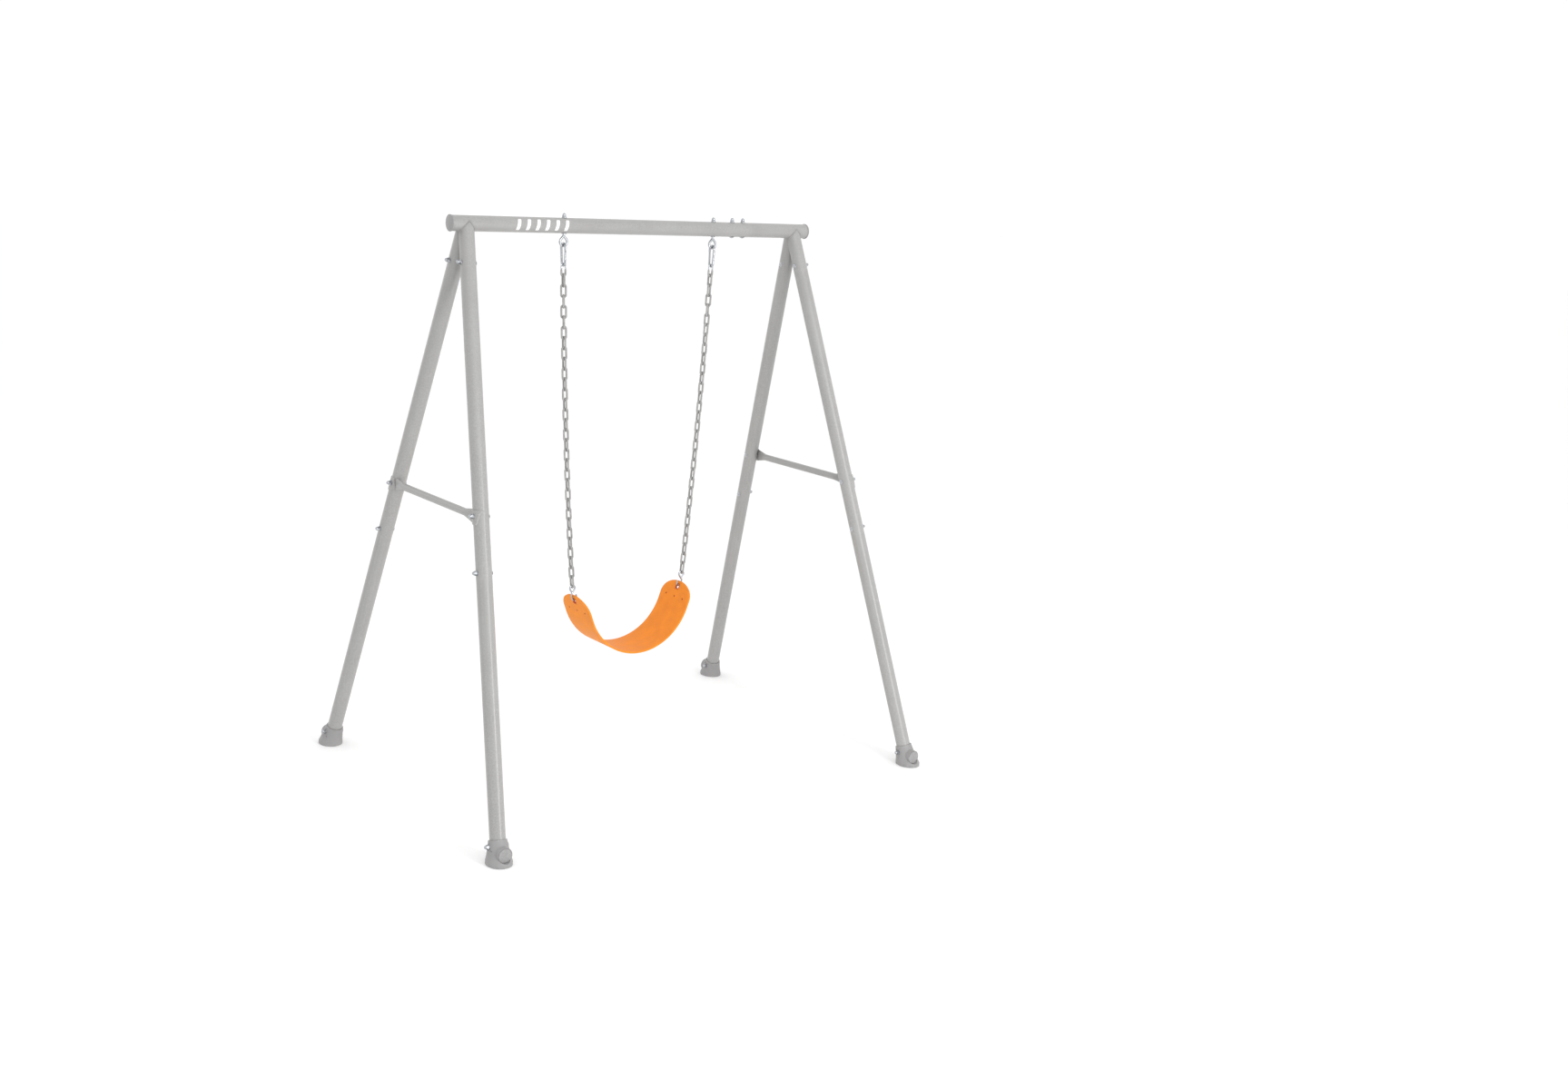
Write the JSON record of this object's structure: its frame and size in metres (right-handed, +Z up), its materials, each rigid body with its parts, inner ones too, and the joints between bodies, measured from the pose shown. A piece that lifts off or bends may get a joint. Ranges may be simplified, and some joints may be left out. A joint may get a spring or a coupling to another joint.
{
  "type": "swing set",
  "caption": "Single belt swing hung on chains from a bolted steel A-frame, with cross braces, spring hooks and moulded foot shoes",
  "frame": {"origin": "on the floor, under the middle of the beam", "axes": "+X along the beam to its short section, +Y towards the back, +Z up; the seat swings in the YZ plane"},
  "size_m": [1.7934, 1.334, 1.941],
  "materials": {
    "powder_coat": "semi-gloss grey powder coat on steel tube",
    "grey_plastic": "grey moulded plastic",
    "shoe_plastic": "fine textured grey moulded plastic",
    "coated_chain": "steel links dipped in smooth grey plastic",
    "belt_plastic": "flexible orange moulded plastic, fine matte grain",
    "insert_steel": "plain steel plate",
    "zinc": "bright zinc plating"
  },
  "bodies": {
    "frame": {"beam_long": "powder_coat", "beam_short": "powder_coat", "beam_cap_left": "grey_plastic", "beam_cap_right": "grey_plastic", "leg_upper_front_left": "powder_coat", "leg_lower_front_left": "powder_coat", "foot_front_left": "shoe_plastic", "leg_upper_front_right": "powder_coat", "leg_lower_front_right": "powder_coat", "foot_front_right": "shoe_plastic", "leg_upper_back_left": "powder_coat", "leg_lower_back_left": "powder_coat", "foot_back_left": "shoe_plastic", "leg_upper_back_right": "powder_coat", "leg_lower_back_right": "powder_coat", "foot_back_right": "shoe_plastic", "foot_discs": "shoe_plastic", "brace_left": "powder_coat", "brace_right": "powder_coat", "beam_bolts": "zinc", "beam_nuts": "zinc", "socket_bolts": "zinc", "socket_nuts": "zinc", "splice_bolts": "zinc", "splice_nuts": "zinc", "brace_bolts": "zinc", "brace_nuts": "zinc", "foot_bolts": "zinc", "foot_nuts": "zinc", "tube_washers": "zinc", "eye_bolt_left": "zinc", "eye_bolt_right": "zinc", "eye_washers": "zinc", "eye_nuts": "zinc"},
    "hangers": {"snap_hook_left": "zinc", "snap_hook_right": "zinc", "snap_pins": "zinc", "chain_left_1": "coated_chain", "chain_right_1": "coated_chain"},
    "gate_left": {"snap_gate_left": "zinc"},
    "gate_right": {"snap_gate_right": "zinc"},
    "chain_second": {"chain_left_2": "coated_chain", "chain_right_2": "coated_chain"},
    "chain_third": {"chain_left_3": "coated_chain", "chain_right_3": "coated_chain"},
    "chain_fourth": {"chain_left_4": "coated_chain", "chain_right_4": "coated_chain", "s_hook_left": "zinc", "s_hook_right": "zinc"},
    "seat": {"seat": "belt_plastic", "seat_inserts": "insert_steel"}
  },
  "joints": [
    {"name": "swing", "type": "hinge", "parent": "frame", "child": "hangers", "pos_m": [0, 0, 1.8335], "axis": [1, 0, 0], "range_deg": [-50, 50]},
    {"name": "chain_bend_upper", "type": "hinge", "parent": "hangers", "child": "chain_second", "pos_m": [0, 0, 1.49799], "axis": [1, 0, 0], "range_deg": [-20, 20]},
    {"name": "chain_bend_middle", "type": "hinge", "parent": "chain_second", "child": "chain_third", "pos_m": [0, 0, 1.21955], "axis": [1, 0, 0], "range_deg": [-20, 20]},
    {"name": "chain_bend_lower", "type": "hinge", "parent": "chain_third", "child": "chain_fourth", "pos_m": [0, 0, 0.94137], "axis": [1, 0, 0], "range_deg": [-20, 20]},
    {"name": "seat_tilt", "type": "hinge", "parent": "chain_fourth", "child": "seat", "pos_m": [0, 0, 0.61036], "axis": [1, 0, 0], "range_deg": [-20, 20]},
    {"name": "snap_gate_left", "type": "hinge", "parent": "hangers", "child": "gate_left", "pos_m": [-0.30351, -0.01024, 1.7834], "axis": [-0.9996, 0, -0.0297], "range_deg": [0, 22], "stiffness_Nm_per_rad": 0.05, "springref_deg": -17.19},
    {"name": "snap_gate_right", "type": "hinge", "parent": "hangers", "child": "gate_right", "pos_m": [0.30351, 0.01024, 1.7834], "axis": [0.9996, 0, -0.0297], "range_deg": [0, 22], "stiffness_Nm_per_rad": 0.05, "springref_deg": -17.19}
  ]
}
